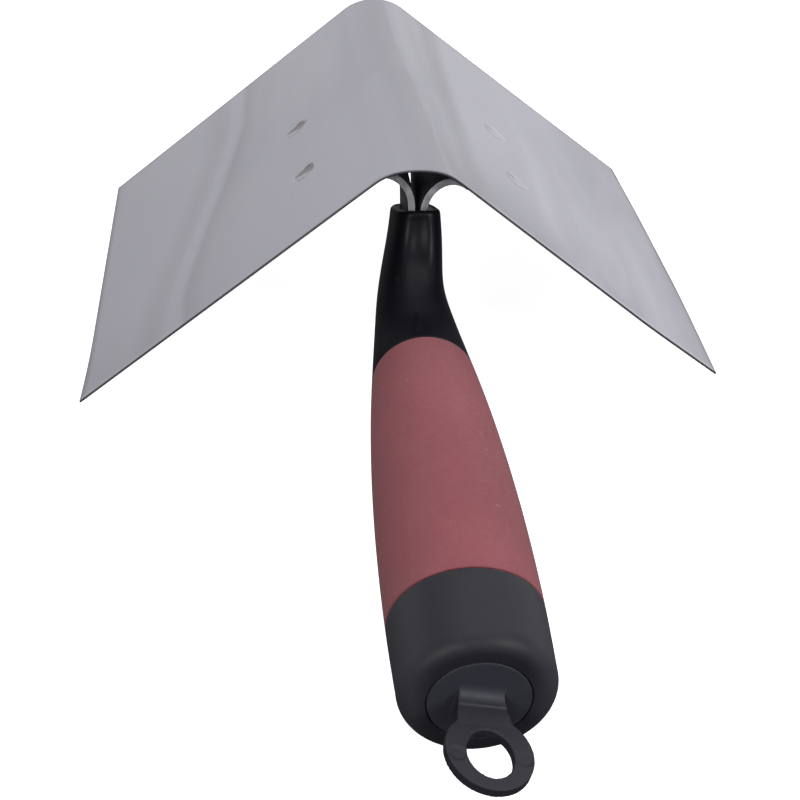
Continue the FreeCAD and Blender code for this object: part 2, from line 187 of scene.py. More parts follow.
def handle_splines():
    tops, unders, shapes = [], [], []
    for top, under, half, square, offset in NECK_ROWS:
        tops.append((offset, top[0] + REAR_EDGE_Y, top[1]))
        unders.append((offset, under[0] + REAR_EDGE_Y, under[1]))
        shapes.append((half, square))
    for place in HANDLE_PLACES:
        radius = handle_radius(place)
        centre = BUTT + AHEAD * place
        tops.append(centre + UP * radius)
        unders.append(centre - UP * radius)
        shapes.append((radius, 0.0))
    tops, unders = np.array(tops), np.array(unders)
    middles = (tops + unders) / 2
    knots = np.concatenate([[0], np.cumsum(np.linalg.norm(np.diff(middles, axis=0), axis=1))])
    return knots, spline(knots, tops), spline(knots, unders), spline(knots, np.array(shapes))


KNOTS, TOPS, UNDERS, SHAPES = handle_splines()
LENGTH = KNOTS[-1]
BUTT_PLANE = LENGTH - 1.0       # the knot of the end face
COUNT = 160
TURNS = np.arange(COUNT) * 2 * math.pi / COUNT


def handle_point(knot, inset=0.0):
    """Points of the handle's skin at those knots, one for each turn, drawn in by inset."""
    knot = np.broadcast_to(np.asarray(knot, float), TURNS.shape)
    inset = np.broadcast_to(np.asarray(inset, float), TURNS.shape)
    top, under, shape = TOPS(knot), UNDERS(knot), SHAPES(knot)
    middle, spoke = (top + under) / 2, (top - under) / 2
    reach = np.linalg.norm(spoke, axis=1)
    spoke = spoke * ((reach - inset) / reach)[:, None]
    swell = 1 + np.maximum(shape[:, 1], 0) * 0.25 * np.sin(2 * TURNS) ** 2
    points = middle + spoke * (np.cos(TURNS) * swell)[:, None]
    points[:, 0] += (shape[:, 0] - inset) * np.sin(TURNS) * swell
    return points


def knot_at_plane(plane, low, high):
    """For each turn, the knot where the skin crosses a plane that is given by two (along, up) points."""
    (y0, z0), (y1, z1) = plane
    low, high = np.full(COUNT, low), np.full(COUNT, high)
    for _ in range(30):
        middle = (low + high) / 2
        points = handle_point(middle)
        cut = y0 + REAR_EDGE_Y + (y1 - y0) * (points[:, 2] - z0) / (z1 - z0)
        ahead = points[:, 1] > cut
        low, high = np.where(ahead, middle, low), np.where(ahead, high, middle)
    return (low + high) / 2


FRONT_KNOT = knot_at_plane(GRIP_FRONT, KNOTS[3], KNOTS[8])
REAR_KNOT = knot_at_plane(GRIP_REAR, KNOTS[9], LENGTH)


# ------------------------------------------------------------------ handle core

def soft_dish(points, centre, across, along, depth, inward):
    """Presses an oval dish into points: depth in the middle, fading to nothing at its edge."""
    offset = points - centre
    reach = (offset @ across[0] / across[1]) ** 2 + (offset @ along[0] / along[1]) ** 2
    near = np.clip(1 - reach, 0, 1) ** 2
    return points + inward * (near * depth)[:, None]


def neck_detail(ring):
    """The scoop down the neck's rear face, and the faint raised line at its foot."""
    lean = MOUTH_LEAN + math.radians(10)
    along = np.array([0, math.sin(lean), math.cos(lean)])
    inward = np.array([0, math.cos(lean), -math.sin(lean)])
    side = np.array([1.0, 0, 0])
    facing = ring[:, 1] - ring[:, 1].mean() < 0
    scoop = np.array([0.9, -0.8 + REAR_EDGE_Y, 36.0])
    scooped = soft_dish(ring, scoop, (side, 3.4), (along, 9.5), 0.75, inward)
    ring = np.where(facing[:, None], scooped, ring)
    above = ring[:, 2] > ring[:, 2].mean()
    foot = np.array([-0.8, -18.5 + REAR_EDGE_Y, 29.0])
    raised = soft_dish(ring, foot, (side, 0.6), (AHEAD, 4.2), 0.4, UP)
    return np.where(above[:, None], raised, ring)


def butt_circle(radius, place):
    """A circle about the handle's axis, at a place ahead of the butt's face."""
    return BUTT + AHEAD * place + UP * (radius * np.cos(TURNS))[:, None] \
        + np.outer(radius * np.sin(TURNS), [1, 0, 0])


def make_core():
    """One skin, from the mouth over the neck, under the grip, round the butt and down into the socket."""
    rings = []
    mouth = handle_point(0.0, 0.0)
    middle = mouth.mean(0)
    up = np.array([0, math.sin(MOUTH_LEAN), math.cos(MOUTH_LEAN)])
    # mouth: a face that dips slightly towards the tang, then a rounded lip
    for share, dip in ((0.15, 0.8), (0.5, 0.8), (0.7, 0.7), (0.8, 0.35), (0.86, 0.08)):
        rings.append(middle + (mouth - middle) * share - up * dip)
    for t in np.linspace(0, math.pi / 2, 7):
        rings.append(handle_point(MOUTH_LIP * (1 - math.cos(t)), MOUTH_LIP * (1 - math.sin(t))))
    for s in np.linspace(0, 1, 70)[1:]:
        knots = MOUTH_LIP + (FRONT_KNOT - 0.12 - MOUTH_LIP) * s
        rings.append(neck_detail(handle_point(knots)))
    # under the grip
    for back, inset in ((0.04, 0.03), (0.0, 0.12), (0.0, GRIP_DEPTH)):
        rings.append(handle_point(FRONT_KNOT - back, inset))
    for s in np.linspace(0, 1, 14)[1:-1]:
        rings.append(handle_point(FRONT_KNOT + (REAR_KNOT - FRONT_KNOT) * s, GRIP_DEPTH))
    # the butt, from a narrow groove behind the grip
    gap = BUTT_GROOVE
    for back, inset in ((0.0, GRIP_DEPTH), (gap, 0.7), (gap, 0.3), (gap + 0.08, 0.09), (gap + 0.3, 0.0)):
        rings.append(handle_point(REAR_KNOT + back, inset))
    first, last = REAR_KNOT + gap + 0.3, BUTT_PLANE - BUTT_ROUNDING
    for s in np.linspace(0, 1, 26)[1:-1]:
        rings.append(handle_point(first + (last - first) * s))
    shoulder = handle_radius(BUTT_ROUNDING) - BUTT_ROUNDING
    for t in np.linspace(0, math.pi / 2, 12):
        rings.append(butt_circle(shoulder + BUTT_ROUNDING * math.cos(t), BUTT_ROUNDING * (1 - math.sin(t))))
    # the plug's seat and socket
    outer, inner, round_over = SEAT_GROOVE
    rings.append(butt_circle(SEAT_RADIUS + outer, 0.0))
    rings.append(butt_circle(SEAT_RADIUS + inner, 0.0))
    for t in np.linspace(0, math.pi / 2, 5):
        radius = SEAT_RADIUS + round_over * (1 - math.sin(t))
        rings.append(butt_circle(radius, round_over * (1 - math.cos(t))))
    for radius, place in SOCKET:
        rings.append(butt_circle(radius, place))
    points, faces = tube(rings)
    return add_mesh("Handle_core", points, faces, TROWEL, ["handle_core"])


def make_grip():
    """A closed sleeve: its front end, outer skin, rear end and inner skin, joined ring to ring."""
    edge = 0.3                  # rounding of the sleeve's two rims
    insets = (GRIP_DEPTH, GRIP_DEPTH - 1.0, GRIP_DEPTH - 2.0)
    rings = []
    for inset in insets:
        rings.append(handle_point(FRONT_KNOT, inset))
    for t in np.linspace(0, math.pi / 2, 6):
        rings.append(handle_point(FRONT_KNOT + edge * (1 - math.cos(t)), edge * (1 - math.sin(t))))
    for s in np.linspace(0, 1, 110)[1:-1]:
        rings.append(handle_point(FRONT_KNOT + edge + (REAR_KNOT - FRONT_KNOT - 2 * edge) * s))
    for t in np.linspace(math.pi / 2, 0, 6):
        rings.append(handle_point(REAR_KNOT - edge * (1 - math.cos(t)), edge * (1 - math.sin(t))))
    for inset in insets[::-1]:
        rings.append(handle_point(REAR_KNOT, inset))
    for s in np.linspace(1, 0, 20)[1:-1]:
        rings.append(handle_point(FRONT_KNOT + (REAR_KNOT - FRONT_KNOT) * s, GRIP_DEPTH))
    points = np.concatenate(rings)
    faces = []
    for k in range(len(rings)):
        a, b = k * COUNT, ((k + 1) % len(rings)) * COUNT
        for i in range(COUNT):
            j = (i + 1) % COUNT
            faces.append((a + i, a + j, b + j, b + i))
    return add_mesh("Soft_grip", points, faces, TROWEL, ["soft_grip"])


# ------------------------------------------------------------------ blade

def section_point(across, depth):
    """A point of the blade's section, at an arc length from the ridge and a depth below the outer face."""
    radius = RIDGE_RADIUS - depth
    limit = math.pi / 2 - HALF_ANGLE
    side = np.sign(across)
    length = np.abs(across)
    arc = RIDGE_RADIUS * limit
    centre = CORNER_Z - RIDGE_RADIUS / math.sin(HALF_ANGLE)
    turn = np.minimum(length / RIDGE_RADIUS, limit)
    straight = np.maximum(length - arc, 0)
    x = radius * np.sin(turn) + straight * math.sin(HALF_ANGLE)
    z = centre + radius * np.cos(turn) - straight * math.cos(HALF_ANGLE)
    return side * x, z


def warp(points):
    """The bends that bring the outline to the photograph's. Takes and gives mm.

    Both wings stand up a little at the rear. The right one is drawn in, most at its corners, and its
    front edge runs forward.
    """
    x, y = points[:, 0], points[:, 1] - REAR_EDGE_Y
    reach = np.abs(x)
    start = np.clip(reach / 9, 0, 1)
    start = start * start * (3 - 2 * start)
    right = 0.95 * np.clip(1 - (reach - 9) / 42, 0, 1) + 0.2 * np.clip((reach - 55) / 15, 0, 1)
    left = 0.38 + 0.45 * np.clip((reach - 9) / 57, 0, 1)
    lift = start * np.where(x > 0, right, left) * np.clip(1 - y / 30.0, 0, 1) ** 2
    moved = points.copy()
    moved[:, 0] += np.sign(x) * math.cos(HALF_ANGLE) * lift
    moved[:, 2] += math.sin(HALF_ANGLE) * lift
    share = np.where(x > 0, np.clip(reach / 69.8, 0, 1) ** 2, 0)
    at_rear, at_front = np.clip(1 - y / 45, 0, 1) ** 1.6, np.clip((y - 75) / 36, 0, 1) ** 1.5
    drawn = share * (1.0 + 2.5 * at_rear + 0.95 * at_front)
    moved[:, 0] -= math.sin(HALF_ANGLE) * drawn
    moved[:, 2] += math.cos(HALF_ANGLE) * drawn
    moved[:, 1] += share * 2.7 * np.clip((y - 50) / 61, 0, 1) ** 2
    return moved


def rivet_holes():
    """A cutting tool for the countersunk holes, a hair wider than the rivets' heads."""
    depth, gap = BLADE_THICKNESS, 0.06
    points, faces = [], []
    for side_place, (reach, along) in RIVETS.items():
        side = -1 if side_place.startswith("left") else 1
        normal = np.array([side * math.cos(HALF_ANGLE), 0, math.sin(HALF_ANGLE)])
        down = np.array([side * math.sin(HALF_ANGLE), 0, -math.cos(HALF_ANGLE)])
        middle = np.array([0, along + REAR_EDGE_Y, CORNER_Z]) + down * reach
        rings = []
        for radius, height in ((2.8 + gap, 0.14), (1.76 + gap, -depth - 0.1)):
            turns = np.arange(64) * 2 * math.pi / 64
            rings.append(middle + normal * height + np.outer(np.cos(turns), down * radius)
                         + np.outer(np.sin(turns), [0, radius, 0]))
        ring_points, ring_faces = tube(rings)
        faces += [tuple(i + sum(map(len, points)) for i in face) for face in ring_faces]
        points.append(ring_points)
    mesh = bpy.data.meshes.new("holes")
    mesh.from_pydata([tuple(p * MM) for p in np.concatenate(points)], [], faces)
    cutter = bpy.data.objects.new("holes", mesh)
    scene.collection.objects.link(cutter)
    outward(cutter)
    return cutter


def make_blade():
    limit = math.pi / 2 - HALF_ANGLE
    half = RIDGE_RADIUS * limit + WING_WIDTH - RIDGE_RADIUS / math.tan(HALF_ANGLE)
    arc = RIDGE_RADIUS * limit
    edge = 0.12
    bend = np.linspace(-arc, arc, 41)
    wing = arc + (half - edge - arc) * (np.linspace(0, 1, 46)[1:])
    across = np.concatenate([-wing[::-1], bend, wing])
    rear, front = edge, BLADE_LENGTH - edge
    along = rear + (front - rear) * np.linspace(0, 1, 75)

    def layer(depth, inset):
        a = across.copy()
        a[0], a[-1] = -(half - inset), half - inset
        y = along.copy()
        y[0], y[-1] = inset, BLADE_LENGTH - inset
        x, z = section_point(a, depth)
        grid = np.zeros((len(y), len(a), 3))
        grid[..., 0], grid[..., 2] = x, z
        grid[..., 1] = y[:, None] + REAR_EDGE_Y
        return grid

    t = BLADE_THICKNESS
    levels = [(0.0, edge), (0.035, 0.035), (edge, 0.0), (t - edge, 0.0), (t - 0.035, 0.035), (t, edge)]
    top, bottom = layer(*levels[0]), layer(*levels[-1])
    rows, columns = top.shape[:2]
    points = [top.reshape(-1, 3), bottom.reshape(-1, 3)]
    faces = []
    size = rows * columns
    for r in range(rows - 1):
        for c in range(columns - 1):
            a = r * columns + c
            faces.append((a, a + 1, a + columns + 1, a + columns))
            faces.append((size + a, size + a + columns, size + a + columns + 1, size + a + 1))
    loop = [(0, c) for c in range(columns)] + [(r, columns - 1) for r in range(1, rows)]
    loop += [(rows - 1, c) for c in range(columns - 2, -1, -1)] + [(r, 0) for r in range(rows - 2, 0, -1)]
    previous = [r * columns + c for r, c in loop]
    base = 2 * size
    for depth, inset in levels[1:-1]:
        grid = layer(depth, inset)
        ring = np.array([grid[r, c] for r, c in loop])
        points.append(ring)
        current = list(range(base, base + len(loop)))
        base += len(loop)
        for i in range(len(loop)):
            j = (i + 1) % len(loop)
            faces.append((previous[i], previous[j], current[j], current[i]))
        previous = current
    under = [size + r * columns + c for r, c in loop]
    for i in range(len(loop)):
        j = (i + 1) % len(loop)
        faces.append((previous[i], previous[j], under[j], under[i]))
    blade = add_mesh("Blade", warp(np.concatenate(points)), faces, TROWEL, ["blade"])
    cutter = rivet_holes()
    cut = blade.modifiers.new("rivet_holes", "BOOLEAN")
    cut.operation, cut.object, cut.solver = "DIFFERENCE", cutter, "EXACT"
    apply_modifiers(blade)
    bpy.data.objects.remove(cutter)
    smooth_by_angle(blade, 50)
    return blade


blade = make_blade()
core = make_core()
grip = make_grip()


# ------------------------------------------------------------------ pieces that start from the CAD solids

def copy_of(node, name, body):
    """A new piece with the node's welded shape, which replaces it."""
    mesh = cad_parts[node].data.copy()
    mesh.materials.clear()
    obj = bpy.data.objects.new(name, mesh)
    scene.collection.objects.link(obj)
    work = bmesh.new()
    work.from_mesh(mesh)
    bmesh.ops.remove_doubles(work, verts=work.verts, dist=1e-6)
    bmesh.ops.dissolve_limit(work, angle_limit=math.radians(0.3), verts=work.verts, edges=work.edges)
    work.to_mesh(mesh)
    work.free()
    if "custom_normal" in mesh.attributes:
        mesh.attributes.remove(mesh.attributes["custom_normal"])
    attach(obj, body)
    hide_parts(node)
    return obj


def bevelled(obj, width, segments=3, angle=35):
    """Rounds the sharp edges of a sheet or turned part."""
    bevel = obj.modifiers.new("bevel", "BEVEL")
    bevel.width, bevel.segments, bevel.limit_method = width * MM, segments, "ANGLE"
    bevel.angle_limit = math.radians(angle)
    bevel.harden_normals = False
    apply_modifiers(obj)
    smooth_by_angle(obj, 40)
    return obj


def moulded(obj, voxel, smoothing=4):
    """Remeshes a solid finely and softens its corners as a moulding's are."""
    remesh = obj.modifiers.new("remesh", "REMESH")
    remesh.mode, remesh.voxel_size, remesh.use_smooth_shade = "VOXEL", voxel * MM, True
    smooth = obj.modifiers.new("smooth", "SMOOTH")
    smooth.factor, smooth.iterations = 0.5, smoothing
    apply_modifiers(obj)
    for polygon in obj.data.polygons:
        polygon.use_smooth = True
    return obj


def make_plug():
    plug = copy_of("hang_plug", "Hanging_plug", LOOP)
    return moulded(plug, 0.14, 5)


plug = make_plug()
plates = [bevelled(copy_of(f"shank_plate_{side}", f"Shank_plate_{side}", TROWEL), 0.18)
          for side in ("left", "right")]
for plate in plates:
    flat = np.array([v.co for v in plate.data.vertices]) / MM
    plate.data.vertices.foreach_set("co", (warp(flat) * MM).ravel())


# ------------------------------------------------------------------ materials

# the blade sheet's dark, middle and light painted reflection tones
BLADE_DARK, BLADE_MIDDLE, BLADE_LIGHT = (0.46, 0.455, 0.50), (0.56, 0.555, 0.60), (0.66, 0.655, 0.72)


class Nodes:
    """Short calls for building one material's nodes."""

    def __init__(self, name):
        self.material = bpy.data.materials.new(name)
        self.material.use_nodes = True
        self.tree = self.material.node_tree
        self.shader = self.tree.nodes["Principled BSDF"]
        self.place = self.add("ShaderNodeTexCoord").outputs["Object"]

    def add(self, kind, **settings):
        node = self.tree.nodes.new(kind)
        for key, value in settings.items():
            setattr(node, key, value)
        return node

    def link(self, source, target):
        if isinstance(source, (int, float, tuple)):
            target.default_value = source
        else:
            self.tree.links.new(source, target)

    def stretched(self, scale, turn=(0, 0, 0), shift=(0, 0, 0)):
        """The object's coordinates, turned and then scaled."""
        mapping = self.add("ShaderNodeMapping")
        self.link(self.place, mapping.inputs["Vector"])
        mapping.inputs["Rotation"].default_value = turn
        mapping.inputs["Scale"].default_value = scale
        mapping.inputs["Location"].default_value = shift
        return mapping.outputs["Vector"]

    def noise(self, vector, scale, detail=4.0, rough=0.5, distort=0.0):
        node = self.add("ShaderNodeTexNoise")
        self.link(vector, node.inputs["Vector"])
        node.inputs["Scale"].default_value = scale
        node.inputs["Detail"].default_value = detail
        node.inputs["Roughness"].default_value = rough
        node.inputs["Distortion"].default_value = distort
        return node.outputs["Fac"]

    def ramp(self, source, *stops):
        node = self.add("ShaderNodeValToRGB")
        self.link(source, node.inputs["Fac"])
        band = node.color_ramp
        while len(band.elements) > 1:
            band.elements.remove(band.elements[-1])
        for k, (position, colour) in enumerate(stops):
            element = band.elements[0] if k == 0 else band.elements.new(position)
            element.position = position
            element.color = (colour,) * 3 + (1,) if isinstance(colour, (int, float)) else (*colour, 1)
        return node.outputs["Color"]

    def mix(self, factor, a, b, mode="MIX"):
        node = self.add("ShaderNodeMix", data_type="RGBA", blend_type=mode)
        self.link(factor, node.inputs[0])
        for value, socket in ((a, node.inputs[6]), (b, node.inputs[7])):
            self.link((*value, 1) if isinstance(value, tuple) and len(value) == 3 else value, socket)
        return node.outputs[2]

    def math(self, operation, a, b=0.0, clamp=False):
        node = self.add("ShaderNodeMath", operation=operation, use_clamp=clamp)
        self.link(a, node.inputs[0])
        self.link(b, node.inputs[1])
        return node.outputs[0]

    def axis(self, name, source=None):
        node = self.add("ShaderNodeSeparateXYZ")
        self.link(source or self.place, node.inputs[0])
        return node.outputs[name]

    def span(self, source, low, high, start=0.0, end=1.0):
        node = self.add("ShaderNodeMapRange", interpolation_type="SMOOTHSTEP")
        keys = ("Value", "From Min", "From Max", "To Min", "To Max")
        for value, key in zip((source, low, high, start, end), keys):
            self.link(value, node.inputs[key])
        return node.outputs["Result"]

    def bump(self, height, distance, strength=1.0, under=None):
        node = self.add("ShaderNodeBump")
        self.link(height, node.inputs["Height"])
        node.inputs["Distance"].default_value = distance * MM
        node.inputs["Strength"].default_value = strength
        if under is not None:
            self.link(under, node.inputs["Normal"])
        return node.outputs["Normal"]

    def finish(self, colour, roughness, normal=None, **constants):
        colour = (*colour, 1) if isinstance(colour, tuple) and len(colour) == 3 else colour
        self.link(colour, self.shader.inputs["Base Color"])
        self.link(roughness, self.shader.inputs["Roughness"])
        if normal is not None:
            self.link(normal, self.shader.inputs["Normal"])
        for key, value in constants.items():
            self.shader.inputs[key.replace("_", " ")].default_value = value
        return self.material


def blade_steel():
    """Satin sheet with long soft bands of painted reflection, a painted dark reflection beside the bend,
    fine grain, tiny specks and a darker rear edge of painted shade.
    """
    n = Nodes("Blade_steel")
    grain = n.noise(n.stretched((1, 0.012, 1)), 2600, 3, 0.6)
    cloud = n.noise(n.place, 22, 3, 0.55)
    smear = n.noise(n.stretched((1, 0.22, 1), (0, 0, math.radians(9))), 60, 4, 0.6, 0.6)
    spots = n.ramp(n.noise(n.place, 420, 2, 0.5), (0.76, 0.0), (0.81, 1.0))
    x, y = n.axis("X"), n.axis("Y")
    drift = n.math("MULTIPLY", n.math("SUBTRACT", n.noise(n.place, 18, 2), 0.5), 0.005)
    # left wing: painted reflection bands that swing outwards towards the rear
    swing = n.span(y, 0.010, 0.105, 0.0, -0.014)
    left = n.span(n.math("ADD", n.math("ADD", x, swing), drift), -0.080, 0.0, 0.0, 1.0)
    left = n.ramp(left, (0.0, 0.60), (0.16, 0.62), (0.235, 0.38), (0.27, 0.42), (0.30, 0.68), (0.335, 0.64),
                  (0.365, 0.10), (0.43, 0.40), (0.55, 0.50), (0.80, 0.50), (1.0, 0.52))
    # painted reflection tones beside and on the bend
    fan = n.span(y, 0.005, 0.110, 0.0042, 0.0)
    bend = n.math("ADD", x, n.math("MULTIPLY", drift, 0.25))
    bend = n.span(n.math("SUBTRACT", bend, fan), -0.016, 0.016, 0.0, 1.0)
    bend = n.ramp(bend, (0.0, 0.52), (0.14, 0.42), (0.20, 0.46), (0.30, 0.34), (0.40, 0.22), (0.61, 0.16),
                  (0.622, 0.42), (0.66, 0.55), (0.72, 0.74), (0.80, 0.78), (1.0, 0.86))
    side = n.span(x, -0.0165, -0.0135)
    painted_reflection_tone = n.mix(side, left, bend)
    # right wing: a lighter painted reflection tone, varied at random by the cloud
    right = n.span(n.math("ADD", x, drift), 0.0135, 0.0160)
    painted_reflection_tone = n.mix(right, painted_reflection_tone, n.ramp(cloud, (0.3, 0.86), (0.7, 0.93)))
    # a painted dark reflection beside the bend that fades towards the rear
    drifted = n.math("ADD", x, drift)
    painted_dark_strip = n.math("MULTIPLY", n.span(drifted, 0.0095, 0.0125), n.span(drifted, 0.0145, 0.0175, 1.0, 0.0))
    painted_dark_strip = n.math("MULTIPLY", painted_dark_strip, n.span(y, 0.016, 0.070, 0.25, 1.0))
    painted_reflection_tone = n.mix(n.math("MULTIPLY", painted_dark_strip, 0.85), painted_reflection_tone, (0.33, 0.33, 0.33))
    base = n.mix(painted_reflection_tone, BLADE_DARK, BLADE_LIGHT)
    smear_dark = n.math("MULTIPLY", n.ramp(smear, (0.35, 1.0), (0.65, 0.0)), 0.07)
    base = n.mix(smear_dark, base, (0.42, 0.41, 0.44))
    base = n.mix(n.math("MULTIPLY", spots, 0.35), base, (0.30, 0.28, 0.30))
    # painted shading over the bend's right flank, from 12 mm left of the ridge to 36 mm right of it
    flank = n.math("MULTIPLY", n.math("ADD", x, 0.012), 1 / 0.048)
    flank = n.ramp(flank, (0.0, 0.96), (0.10, 0.95), (0.17, 0.88), (0.25, 0.80), (0.31, 0.78),
                   (0.375, 0.73), (0.43, 0.745), (0.48, 0.80), (0.52, 0.77), (0.575, 0.83),
                   (0.615, 0.87), (0.75, 0.89), (0.85, 0.92), (1.0, 1.0))
    base = n.mix(1.0, base, flank, "MULTIPLY")
    # painted shade: a dark band along the sheet's rear edge, which is also made rougher
    rear = n.span(y, (REAR_EDGE_Y + 0.08) * MM, (REAR_EDGE_Y + 0.30) * MM, 1.0, 0.0)
    base = n.mix(n.math("MULTIPLY", rear, 0.85), base, (0.10, 0.095, 0.10))
    rough = n.math("ADD", n.span(smear, 0.3, 0.7, 0.30, 0.40), n.math("MULTIPLY", spots, 0.12))
    rough = n.math("ADD", rough, n.math("MULTIPLY", rear, 0.25))
    normal = n.bump(grain, 0.004, 0.6, n.bump(cloud, 0.08, 0.2))
    return n.finish(base, rough, normal, Metallic=1.0, Anisotropic=0.3)


def shank_steel():
    """Mill-finished plate: blotched, and scratched down its length."""
    n = Nodes("Shank_steel")
    grain = n.noise(n.stretched((1, 1, 0.25)), 900, 4, 0.6)
    blotch = n.noise(n.place, 120, 5, 0.6, 0.4)
    stain = n.ramp(blotch, (0.42, 0.0), (0.66, 1.0))
    base = n.mix(stain, (0.31, 0.315, 0.35), (0.17, 0.16, 0.165))
    base = n.mix(n.math("MULTIPLY", n.ramp(grain, (0.52, 0.0), (0.72, 1.0)), 0.4), base, (0.50, 0.50, 0.54))
    rough = n.span(blotch, 0.3, 0.7, 0.36, 0.55)
    return n.finish(base, rough, n.bump(grain, 0.03, 0.6), Metallic=1.0)


def rivet_steel(name, centre, stain):
    """A head ground flush: stained in a leaf shape across its middle, with a dark crescent ahead of it."""
    n = Nodes(name)
    turned = n.noise(n.place, 1100, 4, 0.6)
    blotch = n.noise(n.place, 330, 3, 0.6, 0.5)
    ahead = n.math("SUBTRACT", n.axis("Y"), centre[1])
    beside = n.math("SUBTRACT", n.axis("X"), centre[0])
    rough_edge = n.math("MULTIPLY", n.math("SUBTRACT", blotch, 0.5), 0.0012)
    off = n.math("ADD", n.math("ABSOLUTE", ahead), rough_edge)
    width = n.math("ABSOLUTE", beside)
    leaf = n.span(n.math("ADD", off, n.math("MULTIPLY", width, 0.45)), 0.0013, 0.0021, 1.0, 0.0)
    crescent = n.math("MULTIPLY", n.span(ahead, 0.0004, 0.0009), n.span(width, 0.0004, 0.0010, 1.0, 0.0))
    crescent = n.math("MULTIPLY", crescent, leaf)
    # the clean metal takes one of the sheet's painted reflection tones, the light one or the middle one
    clean = BLADE_LIGHT if stain < 0.5 else BLADE_MIDDLE
    base = n.mix(n.math("MULTIPLY", leaf, stain), clean, (0.30, 0.265, 0.265))
    base = n.mix(n.math("MULTIPLY", crescent, 0.35 + stain * 0.4), base, (0.14, 0.13, 0.15))
    base = n.mix(n.math("MULTIPLY", n.ramp(turned, (0.5, 0.0), (0.7, 1.0)), 0.2), base, (0.25, 0.23, 0.23))
    rough = n.math("ADD", n.span(turned, 0.3, 0.7, 0.32, 0.46), n.math("MULTIPLY", leaf, 0.1))
    return n.finish(base, rough, n.bump(turned, 0.02, 0.5), Metallic=1.0)


def core_plastic():
    """Black plastic: glossier and darker on the neck, matte and scuffed at the butt, with a painted
    highlight down the butt's sides.
    """
    n = Nodes("Core_plastic")
    y = n.axis("Y")
    butt = n.span(y, -0.060, -0.030, 1.0, 0.0)
    fine = n.noise(n.place, 2200, 3, 0.6)
    skin = n.noise(n.place, 260, 4, 0.6)
    cloud = n.noise(n.place, 45, 3, 0.5)
    scuff = n.noise(n.stretched((1, 0.35, 1), (0, 0, 0.5)), 380, 3, 0.55, 0.8)
    scuff = n.ramp(scuff, (0.66, 0.0), (0.76, 1.0))
    # painted highlight: the butt's sides are coloured lighter
    painted_side_highlight = n.math("MULTIPLY", n.span(n.math("ABSOLUTE", n.axis("X")), 0.006, 0.0125), butt)
    base = n.mix(butt, (0.0036, 0.0036, 0.0068), (0.0135, 0.0138, 0.0190))
    base = n.mix(painted_side_highlight, base, (0.040, 0.041, 0.050))
    cloudy = n.math("MULTIPLY", n.ramp(cloud, (0.35, 0.0), (0.7, 1.0)), 0.25)
    base = n.mix(cloudy, base, (0.010, 0.0104, 0.0145))
    base = n.mix(n.math("MULTIPLY", scuff, 0.12), base, (0.055, 0.057, 0.068))
    uneven = n.math("MULTIPLY", n.math("SUBTRACT", skin, 0.5), 0.16)
    rough = n.math("ADD", n.span(butt, 0.0, 1.0, 0.38, 0.52), uneven)
    normal = n.bump(fine, 0.012, 0.5, n.bump(skin, 0.05, 0.35))
    n.link(n.span(butt, 0.0, 1.0, 0.17, 0.32), n.shader.inputs["Specular IOR Level"])
    return n.finish(base, rough, normal, IOR=1.5)


def grip_rubber():
    """Matte red rubber with fine pores, pale dust and faint wiped streaks."""
    n = Nodes("Grip_rubber")
    grain = n.noise(n.place, 2600, 3, 0.65)
    pore = n.noise(n.place, 900, 3, 0.5)
    cloud = n.noise(n.place, 30, 3, 0.55)
    dust = n.ramp(n.noise(n.place, 700, 2, 0.5), (0.735, 0.0), (0.79, 1.0))
    wipe = n.noise(n.stretched((1, 0.3, 1), (0, 0, 0.4)), 120, 4, 0.6)
    base = n.mix(n.ramp(cloud, (0.3, 0.0), (0.7, 1.0)), (0.214, 0.058, 0.068), (0.264, 0.072, 0.086))
    pits = n.math("MULTIPLY", n.ramp(grain, (0.35, 1.0), (0.6, 0.0)), 0.35)
    base = n.mix(pits, base, (0.17, 0.055, 0.062))
    streaks = n.math("MULTIPLY", n.ramp(wipe, (0.5, 0.0), (0.75, 1.0)), 0.14)
    base = n.mix(streaks, base, (0.34, 0.15, 0.165))
    base = n.mix(n.math("MULTIPLY", dust, 0.4), base, (0.45, 0.27, 0.28))
    rough = n.span(pore, 0.3, 0.7, 0.60, 0.74)
    normal = n.bump(grain, 0.035, 0.55, n.bump(pore, 0.05, 0.35))
    return n.finish(base, rough, normal, IOR=1.45, Specular_IOR_Level=0.28,
                    Sheen_Weight=0.08, Sheen_Roughness=0.5)


def plug_plastic():
    """Matte black plastic, with painted light that makes the end disc a little lighter than the tab and
    loop.
    """
    n = Nodes("Plug_plastic")
    fine = n.noise(n.place, 2400, 3, 0.6)
    skin = n.noise(n.place, 420, 4, 0.6)
    scuff = n.ramp(n.noise(n.place, 520, 3, 0.55, 0.6), (0.67, 0.0), (0.76, 1.0))
    base = n.ramp(skin, (0.3, 0.0), (0.7, 1.0))
    base = n.mix(base, (0.0130, 0.0134, 0.0190), (0.0175, 0.018, 0.0250))
    # painted light: the end disc is coloured lighter than the tab and loop
    base = n.mix(n.span(n.axis("Y"), -0.1030, -0.1012), base, (0.030, 0.031, 0.041))
    base = n.mix(n.math("MULTIPLY", scuff, 0.2), base, (0.06, 0.062, 0.074))
    rough = n.span(skin, 0.3, 0.7, 0.46, 0.60)
    normal = n.bump(fine, 0.015, 0.5, n.bump(skin, 0.04, 0.35))
    return n.finish(base, rough, normal, IOR=1.5, Specular_IOR_Level=0.34)


def dress(obj, material):
    obj.data.materials.clear()
    obj.data.materials.append(material)


dress(blade, blade_steel())
steel = shank_steel()
for plate in plates:
    dress(plate, steel)
for name, stain in (("left_rear", 0.85), ("left_front", 0.85), ("right_rear", 0.3), ("right_front", 0.25)):
    low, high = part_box(f"rivet_{name}")
    finish = rivet_steel(f"Rivet_steel_{name}", (Vector(low) + Vector(high)) / 2, stain)
    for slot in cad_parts[f"rivet_{name}"].material_slots:
        slot.material = finish
dress(core, core_plastic())
dress(grip, grip_rubber())
dress(plug, plug_plastic())


# ------------------------------------------------------------------ studio

